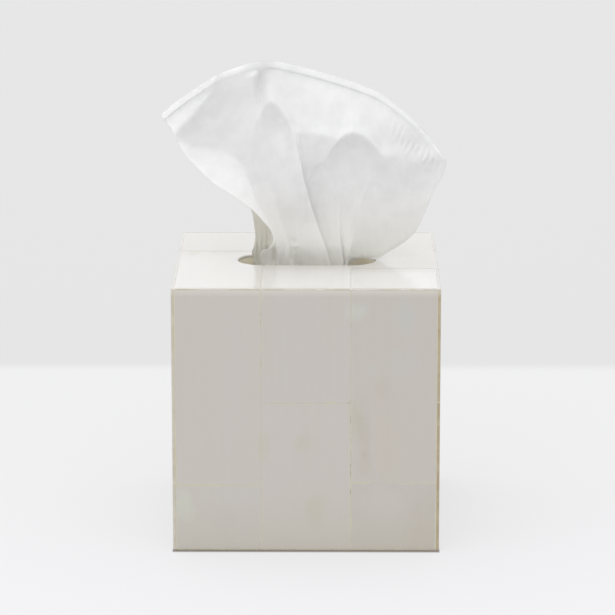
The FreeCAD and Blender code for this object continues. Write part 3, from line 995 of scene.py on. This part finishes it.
back_ply = ply(
    "tissue_back_ply",
    neck=[(-22, pack_rise), (-3, pack_rise), (17, pack_rise)],
    hem=HEM,
    left=[(-22, pack_rise), (-26.5, -10), (-27.4, 0), (-28.1, 3.3), (-26.9, 8), (-26.4, 12.3),
          (-26.9, 17.7), (-28.5, 26), (-38, 37), (-50, 48), (-60, 57), (-66, 64.5), (-74.1, 75)],
    right=[(17, pack_rise), (19, -14), (20.5, -3), (27, 0.6), (35, 2), (40, 4.2), (45.5, 7.6),
           (54, 15.4), (58, 23), (62.8, 36), (67, 43), (70, 47), (70.9, 52)],
    front=False,
)

# %% [markdown]
# ## Tissue paper
# The paper is soft and unglazed, and so thin that light comes through: a diffuse sheet, part of whose
# light is carried to the far side by a Translucent shader. A fine crepe runs across it. Near the slot the
# paper lies in many layers, so less light gets through there, and it is painted a little warmer, as
# painted shade and painted light bounced from the bone. The back ply beside the slot's left end is painted
# duller, as painted shade.

# %% Tissue paper
paper = Finish("tissue_paper", roughness=0.95, Specular_IOR_Level=0.15)
crepe = paper.noise(paper.stretch((1, 1, 0.35)), 1500, detail=3, roughness=0.6)
cloudy = paper.noise(paper.place, 130, detail=3)
white = paper.mix(paper.range(cloudy, 0.35, 0.65), srgb(251, 251, 251), srgb(247, 247, 247))
white = paper.mix(paper.range(crepe, 0.5, 0.8, 0, 0.3), white, srgb(240, 240, 241))
paper_x, paper_y, paper_z = paper.axes(paper.place)
# Painted shade and painted warm light bounced from the bone: the paper is painted warmer towards the slot.
low_painted_shade = paper.range(paper_z, top_face - 4 * MM, top_face + 40 * MM, 1, 0)
white = paper.mix(low_painted_shade, white, srgb(247, 246, 241))

# Painted shade: the back ply is painted duller where it stands back in shade beside the slot's left end.
painted_shade_left = paper.math(
    "MULTIPLY", paper.range(paper_x, -21 * MM, -12 * MM, 1, 0), paper.range(paper_y, 1 * MM, 5 * MM)
)
painted_shade_left = paper.math("MULTIPLY", painted_shade_left, paper.range(paper_z, top_face + 14 * MM, top_face + 46 * MM, 0.9, 0))
painted_shade_left = paper.math("MULTIPLY", painted_shade_left, paper.range(paper.axes(paper.normal)[1], -0.3, 0.1, 1, 0))
white = paper.mix(painted_shade_left, white, srgb(233, 231, 222))
paper.colour(white)
paper.relief(crepe, 0.06 * MM)
paper.relief(cloudy, 0.35 * MM)

# %% Light through the paper
through = paper.add("BsdfTranslucent", {"Color": white})
thin = paper.range(paper_z, top_face, top_face + 14 * MM, 0.13, 0.35)
layered = paper.range(paper_z, top_face + 42 * MM, top_face + 76 * MM, 0, 0.055)
thin = paper.math("SUBTRACT", thin, layered)  # less again towards the rolled hem
both = paper.add("MixShader", {0: thin, 1: paper.shader.outputs[0], 2: through.outputs[0]})
paper.tree.links.new(both.outputs[0], paper.tree.nodes["Material Output"].inputs["Surface"])

for piece in (front_ply, back_ply):
    piece.data.materials.append(paper.material)
    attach(piece, "root")
    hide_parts("tissue")
print("two plies of", paper.material.name, "replace the plain tissue")

# %% [markdown]
# ## Floor and light
# The cover stands on a flat pale floor that is painted a little greyer further back, as painted shade
# where a sweep of paper would start to rise. The floor glows a little, as a light table does, which keeps
# the cover's shadow faint, and its glow is a little brighter nearer the front. Only the few mm beside the
# foot don't glow, so that the cover is seen to stand on it.
# A broad soft light hangs overhead, slightly to the left and in front, and the rest of the light comes
# from pale walls, brighter behind the cover than in front of it.

# %% Floor
FLOOR_TURN, TURN_WIDTH = 0.303, 0.012  # metres behind the middle of the cover, and how soft the turn is
HALF_FLOOR = 4.0
floor_mesh = bpy.data.meshes.new("floor")
corners = [(sx * HALF_FLOOR, sy * HALF_FLOOR, 0) for sx, sy in ((-1, -1), (1, -1), (1, 1), (-1, 1))]
floor_mesh.from_pydata(corners, [], [(0, 1, 2, 3)])
floor = bpy.data.objects.new("floor", floor_mesh)
bpy.context.scene.collection.objects.link(floor)

sweep = Finish("floor_paper", roughness=0.85, Specular_IOR_Level=0.2, Emission_Strength=0.65)
floor_x, floor_y = sweep.axes(sweep.place)[:2]
# painted shade: further back the floor is painted greyer
further = sweep.range(floor_y, FLOOR_TURN - TURN_WIDTH, FLOOR_TURN + TURN_WIDTH)
tone = sweep.mix(further, srgb(128, 128, 128), srgb(121, 121, 121))
nearby = sweep.mix(sweep.range(floor_y, -0.25, 0.25), srgb(249, 249, 252), srgb(242, 242, 243))
glow = sweep.mix(further, nearby, srgb(231, 231, 231))

# %% [markdown]
# Where the foot stands on it, the floor is dark: a thin line in front and behind, and thinner still at
# the sides. The mask is the distance from the cover's square outline.

# %% The foot's shadow
SHADOW_FROM, SHADOW_TO = 0.4 * MM, 2.8 * MM
SIDES_NARROWER = 7.0

away_x, away_y = (
    sweep.math("SUBTRACT", sweep.math("ABSOLUTE", a), side_face) for a in (floor_x, floor_y)
)
away = sweep.math("MAXIMUM", sweep.math("MULTIPLY", away_x, SIDES_NARROWER), away_y)
beside_foot = sweep.range(away, SHADOW_FROM, SHADOW_TO, 0.9, 0)
sweep.colour(sweep.mix(beside_foot, tone, srgb(92, 88, 83)))
sweep.set(sweep.shader.inputs["Emission Color"], sweep.mix(beside_foot, glow, srgb(128, 122, 114)))
floor_mesh.materials.append(sweep.material)
print("the floor turns", FLOOR_TURN, "m behind the cover's middle")

# %% Light
overhead = bpy.data.objects.new("overhead", bpy.data.lights.new("overhead", "SUN"))
overhead.data.energy = 1.58
overhead.data.angle = math.radians(110)
overhead.rotation_euler = [math.radians(a) for a in (14, -12, 0)]
bpy.context.scene.collection.objects.link(overhead)
print("overhead light:", round(overhead.data.energy, 2), "W/m2")

# %% Room
ROOM_IN_FRONT, ROOM_BEHIND = (0.73, 0.73, 0.73, 1), (0.93, 0.93, 0.93, 1)
world = bpy.data.worlds.new("pale_room")
bpy.context.scene.world = world
world.use_nodes = True
tree = world.node_tree
direction = tree.nodes.new("ShaderNodeTexCoord").outputs["Generated"]
split = tree.nodes.new("ShaderNodeSeparateXYZ")
backward = tree.nodes.new("ShaderNodeMapRange")
room = tree.nodes.new("ShaderNodeMix")
room.data_type = "RGBA"
tree.links.new(direction, split.inputs[0])
tree.links.new(split.outputs[1], backward.inputs["Value"])
backward.inputs["From Min"].default_value = -0.2
backward.inputs["From Max"].default_value = 0.5
tree.links.new(backward.outputs[0], room.inputs[0])
room.inputs[6].default_value = ROOM_IN_FRONT
room.inputs[7].default_value = ROOM_BEHIND
tree.links.new(room.outputs[2], tree.nodes["Background"].inputs["Color"])
bpy.context.scene.view_settings.view_transform = "Standard"
